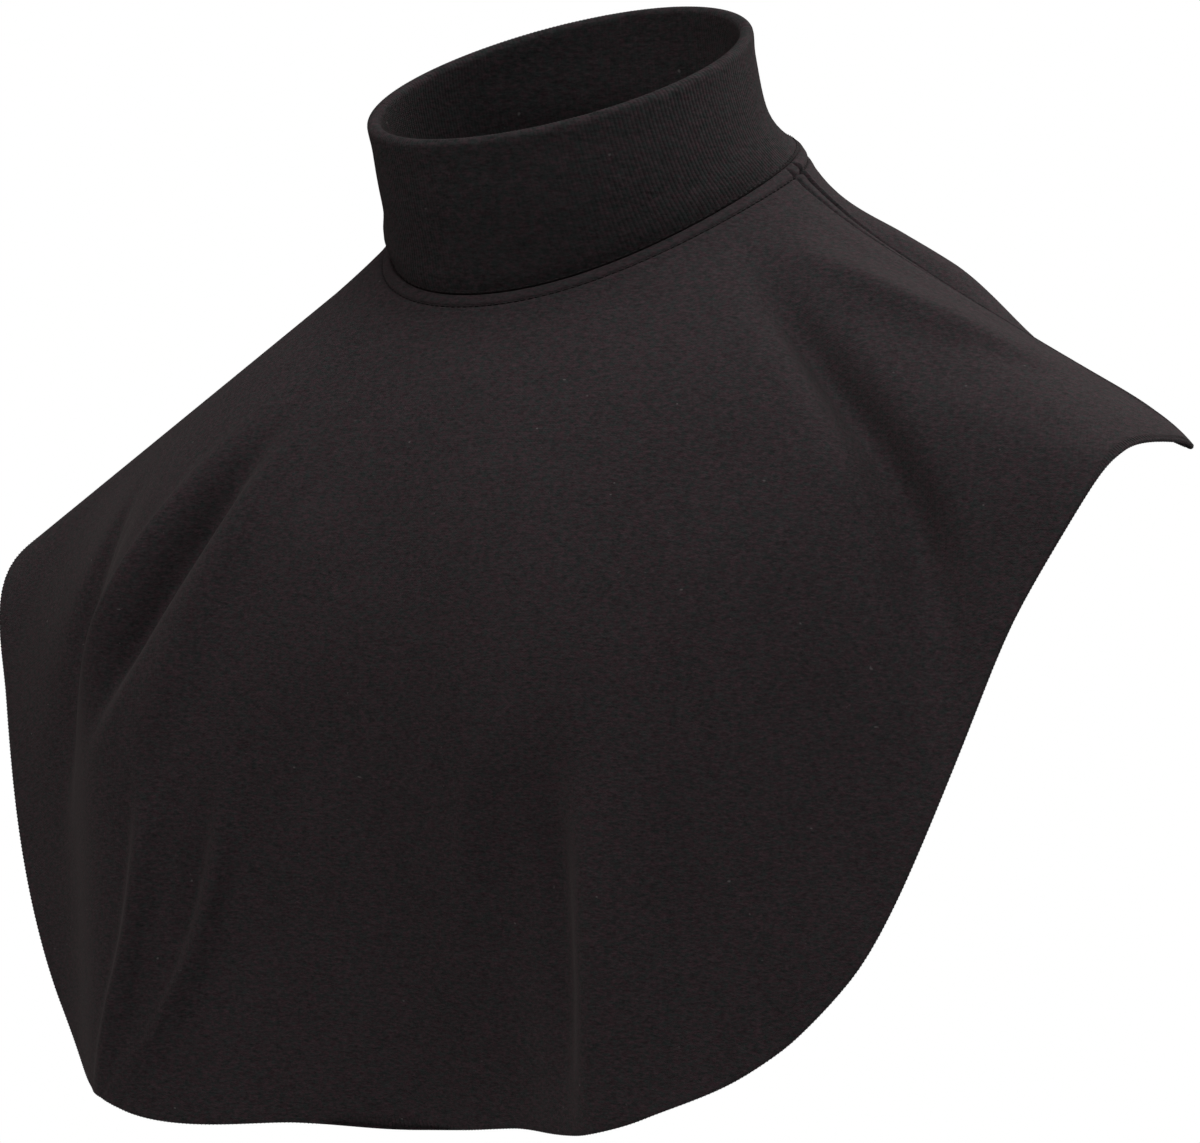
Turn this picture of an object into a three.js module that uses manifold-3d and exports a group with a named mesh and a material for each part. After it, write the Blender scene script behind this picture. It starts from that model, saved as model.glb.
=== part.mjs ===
// A turtleneck dickey: a folded rib-knit collar sewn to a front bib and a back bib of
// cotton jersey, in the form that it takes round a neck and over two shoulders.
// Millimetres. +X is the wearer's left, -Y the front, +Z up. The origin is the middle
// of the neck opening, level with the neck seam at the two sides of the neck.
import * as THREE from 'three';
import { mergeVertices } from 'three/addons/utils/BufferGeometryUtils.js';
import Module from 'manifold-3d';

// Neck seam, where the collar is sewn to the bibs. It is low in front and high behind.
const NECK_HALF_WIDTH = 58.5;
const NECK_REACH_FRONT = 66;
const NECK_REACH_BACK = 50;
const NECK_DROP_FRONT = 34.5;
const NECK_SQUARENESS = 0.035;
const NECK_RISE_BACK = 19;

// Top edge of the collar, an oval that leans forward.
const RIM_HALF_WIDTH = 54.8;
const RIM_HALF_DEPTH = 57.5;
const RIM_HEIGHT = 30;
const RIM_FORWARD = 22;
const RIM_TILT_DEG = 22;

// How the collar draws in from the seam to the rim: a straight share of the way, and a
// power for the rest, which flares more sharply behind.
const DRAW_LEAN_FRONT = 0.9;
const DRAW_LEAN_BACK = 0.26;
const DRAW_POWER_FRONT = 2.2;
const DRAW_POWER_BACK = 8.2;

// Cloth lengths from the neck seam to the hem, along the cloth.
const FRONT_LENGTH = 250;
const SHOULDER_LENGTH = 156;
const BACK_LENGTH = 232;

// Walls: the collar is two layers of rib, rounded over at its top edge.
const COLLAR_WALL = 3;
const COLLAR_FOLD_RADIUS = 2;
const BIB_WALL = 1.2;
const SEAM_ALLOWANCE = 8;
const SEWN_GAP = 0.3;
const ALLOWANCE_GAP = 0.7;

// How far from the neck the cloth follows the steep foot of the neck.
const NECK_EASE = 45;

// Shoulder seam: degrees round from the centre of the front, at the neck and at the hem.
const SEAM_DEG_NECK = 103;
const SEAM_DEG_HEM = 93;

// Usual size of a fold: the half width and the height of a middling one.
const FOLD_WIDTH = 12;
const FOLD_HEIGHT = 5;

// The fall of the cloth in each direction round the neck. Angles are in degrees: 0 is the
// centre of the front, 90 the wearer's left shoulder, 180 the centre of the back.
// slope is the cloth's slope below level as it leaves the neck, fall its slope at the
// hem, and foot the extra slope close to the neck. size is the length that the row
// follows and share its part of it. bend and spread place the change of slope, as
// shares of the row's own length.
const FRONT = FRONT_LENGTH;
const SIDE = SHOULDER_LENGTH;
const BACK = BACK_LENGTH;
const FALL_COLUMNS = ['angle', 'slope', 'fall', 'foot', 'size', 'share', 'bend', 'spread'];
const FALL_ROWS = [
  [-180, 38, 91, 12, BACK, 1, 0.27, 0.26],
  [-160, 38, 91, 11, BACK, 0.96, 0.31, 0.27],
  [-140, 39, 87, 17, BACK, 0.72, 0.48, 0.32],
  [-122, 29.5, 79, 26, BACK, 0.565, 0.69, 0.42],
  [-105, 36, 70, 11, BACK, 0.575, 0.97, 0.31],
  [-92, 34.5, 60, 6, SIDE, 1.016, 1.07, 0.18],
  [-80, 35.5, 71, 9, SIDE, 1.046, 1.25, 0.235],
  [-70, 38, 78, 8, FRONT, 0.78, 0.763, 0.305],
  [-58, 39.7, 89.3, 2, FRONT, 1.05, 0.473, 0.273],
  [-40, 42, 93, 0, FRONT, 1.093, 0.428, 0.312],
  [-20, 48, 100, 0, FRONT, 1.027, 0.391, 0.35],
  [0, 50, 102, 0, FRONT, 1.012, 0.367, 0.36],
  [20, 48, 101, 0, FRONT, 1.025, 0.394, 0.35],
  [40, 42.5, 92, 0, FRONT, 1.056, 0.403, 0.324],
  [58, 35, 87, 2, FRONT, 1.007, 0.477, 0.284],
  [70, 31, 77, 3, FRONT, 0.721, 0.793, 0.34],
  [80, 27.5, 72, 5, SIDE, 1.02, 1.27, 0.26],
  [92, 28.5, 71, 7, SIDE, 1.01, 1, 0.14],
  [98, 31.5, 70, 9, BACK, 0.575, 1, 0.22],
  [105, 35, 70, 11, BACK, 0.545, 0.97, 0.31],
  [122, 29.5, 79, 26, BACK, 0.555, 0.69, 0.42],
  [140, 39, 87, 17, BACK, 0.72, 0.48, 0.32],
  [160, 38, 91, 11, BACK, 0.96, 0.31, 0.27],
];

// Folds run roughly from the neck towards the hem. from, via and to are the angles of
// the crest at its start, middle and end. start and end are shares of the cloth's length,
// and an end past 1 runs off the hem. width and height are shares of the usual fold, and
// a height below zero is a valley.
const FOLD_COLUMNS = ['from', 'via', 'to', 'start', 'end', 'width', 'height'];
const FOLD_ROWS = [
  [-33, -39, -52, 0.12, 0.66, 0.5, 0.7],
  [-29, -35, -46, 0.2, 0.66, 0.5, -1.7],
  [-24, -28, -38, 0.14, 0.7, 0.55, 0.7],
  [-50, -56, -60, 0.34, 0.86, 0.7, -0.8],
  [-22.5, -29, -45, 0.56, 1.04, 0.26, 0.8],
  [-33.5, -36.5, -47, 0.58, 1.04, 0.26, 0.9],
  [6, 4, 2, 0.52, 1.3, 1.4, -0.5],
  [24, 22, 21, 0.54, 1.15, 1.4, -1.4],
  [33.5, 34.5, 35.5, 0.54, 1.12, 0.55, 1],
  [40, 45, 47, 0.6, 1.2, 0.8, -0.5],
  [66, 64.5, 67, 0.04, 1.1, 0.6, -1.7],
  [76, 81, 90, 0.08, 0.8, 0.8, 0.6],
  [105, 106, 104, 0.12, 0.66, 0.4, -0.4],
  [116, 115, 112, 0.08, 0.7, 1.2, 0.6],
  [152, 154, 156, 0.4, 1.2, 1.5, 0.5],
  [-154, -152, -150, 0.4, 1.2, 1.5, 0.5],
  [180, 180, 180, 0.35, 1.2, 1.6, -0.35],
];

// How finely the shapes are faceted.
const FRONT_COLUMNS = 66;
const FRONT_ROWS = 21;
const BACK_COLUMNS = 34;
const BACK_ROWS = 18;
const COLLAR_COLUMNS = 48;
const COLLAR_ROWS = 8;
const FOLD_STEPS = 4;
const SLOPE_STEPS = 40;
const LAP_ROWS = 9;

const asRows = (columns, rows) => rows.map(
  (row) => Object.fromEntries(columns.map((column, k) => [column, row[k]])));
const falls = asRows(FALL_COLUMNS, FALL_ROWS);
const folds = asRows(FOLD_COLUMNS, FOLD_ROWS);

const radians = (degrees) => degrees * Math.PI / 180;
const clamp01 = (t) => Math.min(1, Math.max(0, t));
const ease = (t) => clamp01(t) ** 2 * (3 - 2 * clamp01(t));
const mix = (a, b, t) => a + (b - a) * t;
const spaced = (from, to, steps) => Array.from(
  { length: steps + 1 }, (unused, k) => mix(from, to, k / steps));

// A column of the fall table at any angle: a smooth curve through the rows, round the neck.
function fallAt(column, angle) {
  const count = falls.length;
  const first = falls[0].angle;
  const turned = ((angle - first) % 360 + 360) % 360 + first;
  const row = falls.findLastIndex((one) => one.angle <= turned);
  const angleOf = (k) => falls[(k + count) % count].angle + 360 * Math.floor(k / count);
  const valueOf = (k) => column(falls[(k + count) % count]);
  const [a, b, c, d] = [-1, 0, 1, 2].map((k) => angleOf(row + k));
  const [p, q, r, s] = [-1, 0, 1, 2].map((k) => valueOf(row + k));
  const step = c - b;
  const t = (turned - b) / step;
  const tangentStart = (r - p) / (c - a) * step;
  const tangentEnd = (s - q) / (d - b) * step;
  return q * (2 * t ** 3 - 3 * t ** 2 + 1) + tangentStart * (t ** 3 - 2 * t ** 2 + t)
    + r * (3 * t ** 2 - 2 * t ** 3) + tangentEnd * (t ** 3 - t ** 2);
}

const clothLength = (angle) => fallAt((row) => row.size * row.share, angle);
const seamAngle = (share) => mix(SEAM_DEG_NECK, SEAM_DEG_HEM, share);

// The neck seam: an egg-shaped ring whose height is a parabola from front to back.
function neckSeam(angle) {
  const sine = Math.sin(radians(angle));
  const cosine = Math.cos(radians(angle));
  const reach = (NECK_REACH_FRONT + NECK_REACH_BACK) / 2
    + (NECK_REACH_FRONT - NECK_REACH_BACK) / 2 * cosine;
  const square = 1 + NECK_SQUARENESS * (2 * sine * cosine) ** 2 * (1 + cosine) / 2;
  const y = -reach * cosine * square;
  const frontSlope = NECK_DROP_FRONT / NECK_REACH_FRONT;
  const backSlope = NECK_RISE_BACK / NECK_REACH_BACK;
  const curve = (backSlope - frontSlope) / (NECK_REACH_BACK + NECK_REACH_FRONT);
  const z = y * (frontSlope + curve * (y + NECK_REACH_FRONT));
  return new THREE.Vector3(NECK_HALF_WIDTH * sine * square, y, z);
}

// Drape before its folds: from the neck seam outwards, the slope summed along the cloth.
function drape(angle, share) {
  const length = clothLength(angle);
  const slope = fallAt((row) => row.slope, angle);
  const fall = fallAt((row) => row.fall, angle);
  const foot = fallAt((row) => row.foot, angle);
  const bend = fallAt((row) => row.bend * row.size * row.share, angle);
  const spread = fallAt((row) => row.spread * row.size * row.share, angle);
  let out = 0;
  let down = 0;
  for (let k = 0; k < SLOPE_STEPS; k += 1) {
    const along = (k + 0.5) / SLOPE_STEPS * share * length;
    const turn = ease((along - bend + spread) / (2 * spread));
    const steep = radians(mix(slope, fall, turn) + foot * (1 - ease(along / NECK_EASE)));
    out += Math.cos(steep) * share * length / SLOPE_STEPS;
    down += Math.sin(steep) * share * length / SLOPE_STEPS;
  }
  const outward = new THREE.Vector3(Math.sin(radians(angle)), -Math.cos(radians(angle)), 0);
  return neckSeam(angle).addScaledVector(outward, out).add(new THREE.Vector3(0, 0, -down));
}

// The way out of the cloth: across two short steps over the surface.
function outwardNormal(surface, angle, share) {
  const aside = 0.4;
  const ahead = 0.004;
  const across = surface(angle + aside, share).sub(surface(angle - aside, share));
  const along = surface(angle, share + ahead).sub(surface(angle, share - ahead));
  return along.cross(across).normalize();
}

// Height of all the folds at a place on the cloth. Each is a smooth hump across its crest,
// which fades in and out along its length, and none disturbs the neck seam.
function foldHeight(angle, share) {
  const place = drape(angle, share);
  const radius = Math.hypot(place.x, place.y);
  let height = 0;
  for (const fold of folds) {
    const t = (share - fold.start) / (fold.end - fold.start);
    if (t > 0 && t < 1) {
      const crest = fold.from * (1 - t) * (1 - 2 * t) + fold.via * 4 * t * (1 - t)
        + fold.to * t * (2 * t - 1);
      const turned = ((angle - crest + 180) % 360 + 360) % 360 - 180;
      const across = radians(turned) * radius / (FOLD_WIDTH * fold.width);
      const fade = ease(t / 0.4) * ease((1 - t) / 0.4);
      height += FOLD_HEIGHT * fold.height * fade * Math.exp(-across * across);
    }
  }
  return height * ease(share * clothLength(angle) / (2 * SEAM_ALLOWANCE));
}

// The finished outer face of the cloth, and the same face moved in by a depth.
const clothFace = (angle, share) => drape(angle, share).addScaledVector(
  outwardNormal(drape, angle, share), foldHeight(angle, share));
function clothAt(angle, share, depth) {
  const face = clothFace(angle, share);
  return face.addScaledVector(outwardNormal(clothFace, angle, share), -depth);
}

// The collar's outer face: from the seam it draws in quickly, then rises to the rim.
function collarFace(angle, rise) {
  const foot = neckSeam(angle);
  const forward = -RIM_HALF_DEPTH * Math.cos(radians(angle));
  const rim = new THREE.Vector3(
    RIM_HALF_WIDTH * Math.sin(radians(angle)),
    forward - RIM_FORWARD,
    RIM_HEIGHT + forward * Math.tan(radians(RIM_TILT_DEG)));
  const left = 1 - rise;
  const behind = (1 - Math.cos(radians(angle))) / 2;
  const lean = mix(DRAW_LEAN_FRONT, DRAW_LEAN_BACK, behind);
  const power = mix(DRAW_POWER_FRONT, DRAW_POWER_BACK, behind);
  const draw = lean * left + (1 - lean) * Math.abs(left) ** power * Math.sign(left);
  return new THREE.Vector3(
    mix(rim.x, foot.x, draw), mix(rim.y, foot.y, draw), mix(foot.z, rim.z, rise));
}

// A closed solid from two grids of points, the outer face and the inner one.
function shellSolid(outer, inner) {
  const columns = outer.length;
  const rows = outer[0].length;
  const points = [...outer.flat(), ...inner.flat()];
  const outerAt = (i, j) => i * rows + j;
  const innerAt = (i, j) => columns * rows + i * rows + j;
  const faces = [];
  const quad = (a, b, c, d) => faces.push(a, b, c, a, c, d);
  for (let i = 0; i < columns - 1; i += 1) {
    for (let j = 0; j < rows - 1; j += 1) {
      quad(outerAt(i, j), outerAt(i, j + 1), outerAt(i + 1, j + 1), outerAt(i + 1, j));
      quad(innerAt(i, j), innerAt(i + 1, j), innerAt(i + 1, j + 1), innerAt(i, j + 1));
    }
    quad(outerAt(i, 0), outerAt(i + 1, 0), innerAt(i + 1, 0), innerAt(i, 0));
    quad(outerAt(i + 1, rows - 1), outerAt(i, rows - 1),
      innerAt(i, rows - 1), innerAt(i + 1, rows - 1));
  }
  for (let j = 0; j < rows - 1; j += 1) {
    quad(outerAt(0, j + 1), outerAt(0, j), innerAt(0, j), innerAt(0, j + 1));
    quad(outerAt(columns - 1, j), outerAt(columns - 1, j + 1),
      innerAt(columns - 1, j + 1), innerAt(columns - 1, j));
  }
  return bodyOf(points, faces);
}

// A closed ring from sections, each a closed loop of points.
function ringSolid(sections) {
  const count = sections.length;
  const around = sections[0].length;
  const at = (i, j) => (i % count) * around + (j % around);
  const faces = [];
  for (let i = 0; i < count; i += 1) {
    for (let j = 0; j < around; j += 1) {
      faces.push(at(i, j), at(i + 1, j), at(i + 1, j + 1));
      faces.push(at(i, j), at(i + 1, j + 1), at(i, j + 1));
    }
  }
  return bodyOf(sections.flat(), faces);
}

function bodyOf(points, faces) {
  const geometry = new THREE.BufferGeometry();
  geometry.setAttribute('position',
    new THREE.Float32BufferAttribute(points.flatMap((p) => [p.x, p.y, p.z]), 3));
  geometry.setIndex(faces);
  return mergeVertices(geometry);
}

const wasm = await Module();
wasm.setup();
const solidOf = (geometry) => new wasm.Manifold(new wasm.Mesh({
  numProp: 3,
  vertProperties: new Float32Array(geometry.attributes.position.array),
  triVerts: new Uint32Array(geometry.index.array),
}));
function geometryOf(solid) {
  const mesh = solid.getMesh();
  const geometry = new THREE.BufferGeometry();
  geometry.setAttribute('position', new THREE.Float32BufferAttribute(mesh.vertProperties, 3));
  geometry.setIndex(Array.from(mesh.triVerts));
  return geometry;
}

// A bib: the cloth between two edges, each given as an angle for every share.
function bibBetween(rightEdge, leftEdge, columns, rows) {
  const grid = (depth) => spaced(0, 1, columns).map((across) => spaced(0, 1, rows).map(
    (down) => {
      const start = SEWN_GAP / clothLength(mix(rightEdge(0), leftEdge(0), across));
      const share = mix(start, 1, down);
      return clothAt(mix(rightEdge(share), leftEdge(share), across), share, depth);
    }));
  return shellSolid(grid(0), grid(BIB_WALL));
}

// Degrees that a distance along the cloth spans at a place on the shoulder seam.
function degreesFor(distance, share) {
  const place = drape(seamAngle(share), share);
  return THREE.MathUtils.radToDeg(distance / Math.hypot(place.x, place.y));
}
const halfGap = (share) => degreesFor(SEWN_GAP / 2, share);

// The back bib's seam allowance, which lies under the front bib along a shoulder seam.
// It starts past the collar's own allowance, and runs into the back bib's edge.
function seamLap(side) {
  const underside = BIB_WALL + ALLOWANCE_GAP;
  const length = clothLength(seamAngle(0));
  const first = (SEAM_ALLOWANCE + 2 * BIB_WALL) / length;
  const last = 1 - 2 * BIB_WALL / length;
  const under = -SEAM_ALLOWANCE;
  const root = SEWN_GAP / 2;
  const behind = root + 1.5 * BIB_WALL;
  const strip = [
    [under, underside, underside + BIB_WALL],
    [root, underside, underside + BIB_WALL],
    [root + SEWN_GAP / 4, BIB_WALL / 2, underside + BIB_WALL],
    [behind, BIB_WALL / 2, BIB_WALL * 1.4],
  ];
  const ordered = side > 0 ? strip : [...strip].reverse();
  const grid = (which) => ordered.map((column) => spaced(first, last, LAP_ROWS).map(
    (share) => clothAt(
      side * (seamAngle(share) + degreesFor(column[0], share)), share, column[which])));
  return shellSolid(grid(1), grid(2));
}

function frontBib() {
  return bibBetween(
    (share) => -seamAngle(share) + halfGap(share),
    (share) => seamAngle(share) - halfGap(share),
    FRONT_COLUMNS, FRONT_ROWS);
}

function backBib() {
  const bib = bibBetween(
    (share) => seamAngle(share) + halfGap(share),
    (share) => 360 - seamAngle(share) - halfGap(share),
    BACK_COLUMNS, BACK_ROWS);
  return geometryOf([1, -1].reduce(
    (solid, side) => solid.add(solidOf(seamLap(side))), solidOf(bib)));
}

// One section of the collar: up the outer face, over the fold, down the inner face, and
// out along the seam allowance that lies under the bibs.
function collarSection(angle) {
  const wallNormal = (rise) => outwardNormal((a, r) => collarFace(a, 1 - r), angle, 1 - rise);
  const outer = spaced(0, 1, COLLAR_ROWS).map((rise) => collarFace(angle, rise));
  const inner = spaced(1, 0, COLLAR_ROWS).map(
    (rise) => collarFace(angle, rise).addScaledVector(wallNormal(rise), -COLLAR_WALL));
  const top = collarFace(angle, 1);
  const outward = wallNormal(1);
  const upward = top.clone().sub(collarFace(angle, 0.9)).normalize();
  const middle = top.clone().addScaledVector(outward, -COLLAR_WALL / 2);
  const overFold = spaced(0, 180, FOLD_STEPS + 1).slice(1, -1).map((turn) => middle.clone()
    .addScaledVector(outward, COLLAR_FOLD_RADIUS * Math.cos(radians(turn)))
    .addScaledVector(upward, COLLAR_FOLD_RADIUS * Math.sin(radians(turn))));
  const shareOf = (distance) => distance / clothLength(angle);
  const underside = BIB_WALL + ALLOWANCE_GAP;
  const allowance = [
    clothAt(angle, 0, underside + BIB_WALL).addScaledVector(wallNormal(0), -COLLAR_WALL),
    clothAt(angle, shareOf(SEAM_ALLOWANCE / 2), underside + BIB_WALL),
    clothAt(angle, shareOf(SEAM_ALLOWANCE), underside + BIB_WALL),
    clothAt(angle, shareOf(SEAM_ALLOWANCE), underside),
    clothAt(angle, shareOf(SEAM_ALLOWANCE / 2), underside),
    clothAt(angle, 0, underside),
  ];
  return [...outer, ...overFold, ...inner, ...allowance];
}

const ribCollar = () => ringSolid(
  spaced(0, 360, COLLAR_COLUMNS).slice(0, -1).map(collarSection));

const ribKnit = new THREE.MeshStandardMaterial({ color: 0x242223, roughness: 0.95, metalness: 0 });
const frontJersey = new THREE.MeshStandardMaterial({ color: 0x2e2b2c, roughness: 0.9, metalness: 0 });
const backJersey = new THREE.MeshStandardMaterial({ color: 0x2e2b2c, roughness: 0.9, metalness: 0 });

function named(name, geometry, material) {
  const mesh = new THREE.Mesh(geometry, material);
  mesh.name = name;
  return mesh;
}

const dickey = new THREE.Group();
dickey.add(
  named('rib_collar', ribCollar(), ribKnit),
  named('front_bib', frontBib(), frontJersey),
  named('back_bib', backBib(), backJersey),
);

export default dickey;
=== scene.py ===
# %% [markdown]
# # A turtleneck dickey
# A dickey is the top of a turtleneck without the rest of the jumper: a folded collar of
# rib knit, a long bib of jersey for the chest and a shorter one for the back. It is worn
# under another garment, so only the collar and the chest have to look like a jumper.
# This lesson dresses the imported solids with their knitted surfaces. The frame comes first,
# because every piece has to stay where the construction says.
# %% Load the frame
import math

import bpy
import numpy as np
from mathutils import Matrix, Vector


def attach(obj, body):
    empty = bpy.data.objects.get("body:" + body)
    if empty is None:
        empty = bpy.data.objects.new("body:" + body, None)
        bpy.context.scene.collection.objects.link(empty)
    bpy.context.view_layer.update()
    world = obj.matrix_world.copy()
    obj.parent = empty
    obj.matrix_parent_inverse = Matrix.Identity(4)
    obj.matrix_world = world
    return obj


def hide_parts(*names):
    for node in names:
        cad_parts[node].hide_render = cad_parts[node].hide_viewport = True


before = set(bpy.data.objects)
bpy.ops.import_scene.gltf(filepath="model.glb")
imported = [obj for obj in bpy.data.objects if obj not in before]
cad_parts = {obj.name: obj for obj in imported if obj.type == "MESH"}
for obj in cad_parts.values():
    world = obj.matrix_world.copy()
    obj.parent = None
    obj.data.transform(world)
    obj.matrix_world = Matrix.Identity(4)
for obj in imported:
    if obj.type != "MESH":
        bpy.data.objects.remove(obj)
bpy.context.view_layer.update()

MM = 0.001

# %% [markdown]
# Small helpers serve all the pieces: the rows of a table become named records, an eased
# step rises from 0 to 1, a way is brought to length one, angles are counted the short way
# round, and a line of points is measured along itself.
# %% Helpers
def records(columns, rows):
    """Each row of a table as a dictionary with the columns' names."""
    return [dict(zip(columns, row)) for row in rows]


def ease(t):
    """A smooth step: three t squared less two t cubed, held between 0 and 1."""
    t = np.clip(t, 0, 1)
    return t * t * (3 - 2 * t)


def unit(way):
    """Each way divided by its own length."""
    return way / np.linalg.norm(way, axis=-1, keepdims=True)


def short_way(angle, middle):
    """Degrees from the middle to the angle, from -180 to 180."""
    return (angle - middle + 180) % 360 - 180


def run_along(points):
    """Distance along a line of points: nothing, then the sum of the steps so far."""
    return np.concatenate([[0], np.linalg.norm(np.diff(points, axis=0), axis=1).cumsum()])


print("an eased quarter is", ease(0.25))

# %% [markdown]
# The dickey's own sizes are repeated here in millimetres, as the pattern cutter has them:
# the neck seam, the top edge of the collar, the cloth lengths and the walls. Keeping the
# names of the construction makes it easy to see that both describe the same garment.
# %% Sizes of the garment
NECK_HALF_WIDTH = 58.5
NECK_SQUARENESS = 0.035
NECK_REACH_FRONT = 66.0
NECK_REACH_BACK = 50.0
NECK_DROP_FRONT = 34.5
NECK_RISE_BACK = 19.0
RIM_HALF_WIDTH = 54.8
RIM_HALF_DEPTH = 57.5
RIM_HEIGHT = 30.0
RIM_FORWARD = 22.0
RIM_TILT_DEG = 22.0
FRONT_LENGTH = 250.0
SHOULDER_LENGTH = 156.0
BACK_LENGTH = 232.0
DRAW_LEAN_FRONT = 0.9
DRAW_LEAN_BACK = 0.26
DRAW_POWER_FRONT = 2.2
DRAW_POWER_BACK = 8.2
COLLAR_WALL = 3.0
COLLAR_FOLD_RADIUS = 2.0
BIB_WALL = 1.2
SEAM_ALLOWANCE = 8.0
NECK_EASE = 45.0
SEAM_DEG_NECK = 103.0
SEAM_DEG_HEM = 93.0
FOLD_WIDTH = 12.0
FOLD_HEIGHT = 5.0
print("collar", 2 * RIM_HALF_WIDTH, "mm across, front", FRONT_LENGTH, "mm long")

# %% [markdown]
# Worn cloth is close to one smooth surface round the neck. In every direction it leaves
# the neck seam at one slope and ends at another, steeper one, so a short table of
# directions can hold the whole drape. Zero degrees is the middle of the front, 90 the
# wearer's left shoulder. A cloth simulation could find this form too, but it would need
# the wearer's body, and the photo already shows the result.
# %% The fall of the cloth
FRONT, SIDE, BACK = FRONT_LENGTH, SHOULDER_LENGTH, BACK_LENGTH
FALL_COLUMNS = ("angle", "slope", "fall", "foot", "size", "share", "bend", "spread")
FALL_ROWS = np.array([
    (-180, 38, 91, 12, BACK, 1.0, 0.27, 0.26),
    (-160, 38, 91, 11, BACK, 0.96, 0.31, 0.27),
    (-140, 39, 87, 17, BACK, 0.72, 0.48, 0.32),
    (-122, 29.5, 79, 26, BACK, 0.565, 0.69, 0.42),
    (-105, 36, 70, 11, BACK, 0.575, 0.97, 0.31),
    (-92, 34.5, 60, 6, SIDE, 1.016, 1.07, 0.18),
    (-80, 35.5, 71, 9, SIDE, 1.046, 1.25, 0.235),
    (-70, 38.0, 78, 8, FRONT, 0.78, 0.763, 0.305),
    (-58, 39.7, 89.3, 2, FRONT, 1.05, 0.473, 0.273),
    (-40, 42, 93, 0, FRONT, 1.093, 0.428, 0.312),
    (-20, 48, 100, 0, FRONT, 1.027, 0.391, 0.35),
    (0, 50, 102, 0, FRONT, 1.012, 0.367, 0.36),
    (20, 48, 101, 0, FRONT, 1.025, 0.394, 0.35),
    (40, 42.5, 92, 0, FRONT, 1.056, 0.403, 0.324),
    (58, 35, 87, 2, FRONT, 1.007, 0.477, 0.284),
    (70, 31, 77, 3, FRONT, 0.721, 0.793, 0.34),
    (80, 27.5, 72, 5, SIDE, 1.02, 1.27, 0.26),
    (92, 28.5, 71, 7, SIDE, 1.01, 1.0, 0.14),
    (98, 31.5, 70, 9, BACK, 0.575, 1.0, 0.22),
    (105, 35, 70, 11, BACK, 0.545, 0.97, 0.31),
    (122, 29.5, 79, 26, BACK, 0.555, 0.69, 0.42),
    (140, 39, 87, 17, BACK, 0.72, 0.48, 0.32),
    (160, 38, 91, 11, BACK, 0.96, 0.31, 0.27),
])
fall = dict(zip(FALL_COLUMNS, FALL_ROWS.T))
fall["length"] = fall["size"] * fall["share"]
fall["bend"] = fall["bend"] * fall["length"]
fall["spread"] = fall["spread"] * fall["length"]


def fall_at(column, angle):
    """A table column at any angle: a cubic through the rows, each row's slope being the
    line between its two neighbours, closed round the neck."""
    rows, values = fall["angle"], fall[column]
    count = len(rows)
    turned = (angle - rows[0]) % 360 + rows[0]
    row = np.searchsorted(rows, turned, side="right") - 1
    a, b, c, d = (rows[(row + k) % count] + 360 * ((row + k) // count) for k in (-1, 0, 1, 2))
    p, q, r, s = (values[(row + k) % count] for k in (-1, 0, 1, 2))
    step = c - b
    t = (turned - b) / step
    start, end = (r - p) / (c - a) * step, (s - q) / (d - b) * step
    return (q * (2 * t**3 - 3 * t**2 + 1) + start * (t**3 - 2 * t**2 + t)
            + r * (3 * t**2 - 2 * t**3) + end * (t**3 - t**2))


print("directions", len(FALL_ROWS))

# %% [markdown]
# The neck seam is an egg-shaped ring, low in front and high behind. From it the cloth is
# followed outwards: at each place the slope says how much of a short step goes out and
# how much goes down, and the steps are added up. All places are worked out together as
# arrays, which is what makes a fine surface quick.
# %% The neck seam and the drape
SLOPE_STEPS = 40


def neck_seam(angle):
    """Ring point: x is the half width times the sine, y the reach times the cosine, both
    a little larger halfway between front and side, and z a parabola of y."""
    sine, cosine = np.sin(np.radians(angle)), np.cos(np.radians(angle))
    reach = (NECK_REACH_FRONT + NECK_REACH_BACK) / 2 + (NECK_REACH_FRONT - NECK_REACH_BACK) / 2 * cosine
    square = 1 + NECK_SQUARENESS * (2 * sine * cosine) ** 2 * (1 + cosine) / 2
    y = -reach * cosine * square
    front_slope, back_slope = NECK_DROP_FRONT / NECK_REACH_FRONT, NECK_RISE_BACK / NECK_REACH_BACK
    curve = (back_slope - front_slope) / (NECK_REACH_BACK + NECK_REACH_FRONT)
    z = y * (front_slope + curve * (y + NECK_REACH_FRONT))
    return np.stack([NECK_HALF_WIDTH * sine * square, y, z], -1)


def drape(angle, share):
    """Cloth before its folds: the neck seam's point plus the sum of small steps, each as
    long as the cloth and tilted by the slope at its middle."""
    angle, share = np.broadcast_arrays(np.asarray(angle, float), np.asarray(share, float))
    length, slope, end, foot, bend, spread = (
        fall_at(name, angle)[..., None] for name in ("length", "slope", "fall", "foot", "bend", "spread"))
    along = (np.arange(SLOPE_STEPS) + 0.5) / SLOPE_STEPS * share[..., None] * length
    turn = ease((along - bend + spread) / (2 * spread))
    steep = np.radians(slope + (end - slope) * turn + foot * (1 - ease(along / NECK_EASE)))
    reach = share * length[..., 0]
    out, down = np.cos(steep).mean(-1) * reach, np.sin(steep).mean(-1) * reach
    side = np.radians(angle)
    return neck_seam(angle) + np.stack([out * np.sin(side), -out * np.cos(side), -down], -1)


def normal_of(surface, angle, share):
    """Outward way: the cross product of a short step down the surface and one across."""
    aside, ahead = 0.3, 0.003
    across = surface(angle + aside, share) - surface(angle - aside, share)
    along = surface(angle, share + ahead) - surface(angle, share - ahead)
    return unit(np.cross(along, across))


print("front hem at", drape(0.0, 1.0).round(), "shoulder hem at", drape(92.0, 1.0).round())

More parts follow.
